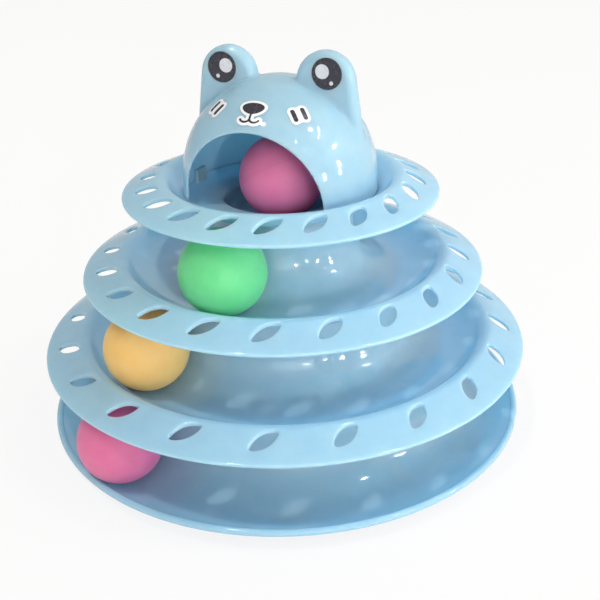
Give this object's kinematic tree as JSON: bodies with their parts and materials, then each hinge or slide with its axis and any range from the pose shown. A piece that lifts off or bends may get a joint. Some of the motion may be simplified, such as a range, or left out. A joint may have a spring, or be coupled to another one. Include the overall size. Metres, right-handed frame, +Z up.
{
  "type": "cat ball track toy",
  "caption": "Tower of stacked round ball tracks with slotted brims, loose balls that roll round them, and a domed cat head with an arched door on top",
  "frame": {"origin": "on the surface that the rubber pads stand on, under the tower's axis", "axes": "+Z up along the tower's axis, +X to the right and -Y to the front, where the picture is taken from"},
  "size_m": [0.241, 0.241, 0.1878],
  "materials": {
    "tower_plastic": "glossy pale blue moulded plastic",
    "sticker_print": "near-black print on white glossy film",
    "ball_pink": "matte pink",
    "ball_orange": "matte pale orange",
    "ball_green": "matte green",
    "pad_rubber": "clear grey rubber"
  },
  "bodies": {
    "tower": {"base_dish": "tower_plastic", "lower_tier": "tower_plastic", "middle_tier": "tower_plastic", "upper_tier": "tower_plastic", "cat_head": "tower_plastic", "eye_sticker_left": "sticker_print", "eye_sticker_right": "sticker_print", "nose_sticker": "sticker_print", "cheek_sticker_left": "sticker_print", "cheek_sticker_right": "sticker_print", "foot_pad_1": "pad_rubber", "foot_pad_2": "pad_rubber", "foot_pad_3": "pad_rubber", "foot_pad_4": "pad_rubber", "foot_pad_5": "pad_rubber", "foot_pad_6": "pad_rubber"},
    "ball_base": {"ball_base": "ball_pink"},
    "ball_lower": {"ball_lower": "ball_orange"},
    "ball_middle": {"ball_middle": "ball_green"},
    "ball_top": {"ball_top": "ball_pink"}
  },
  "joints": [
    {"name": "base_ball_orbit", "type": "hinge", "parent": "tower", "child": "ball_base", "pos_m": [0, 0, 0.025], "axis": [0, 0, 1], "continuous": true},
    {"name": "lower_ball_orbit", "type": "hinge", "parent": "tower", "child": "ball_lower", "pos_m": [0, 0, 0.062], "axis": [0, 0, 1], "continuous": true},
    {"name": "middle_ball_orbit", "type": "hinge", "parent": "tower", "child": "ball_middle", "pos_m": [0, 0, 0.1005], "axis": [0, 0, 1], "continuous": true},
    {"name": "top_ball_orbit", "type": "hinge", "parent": "tower", "child": "ball_top", "pos_m": [0, 0, 0.1304], "axis": [0, 0, 1], "continuous": true}
  ]
}
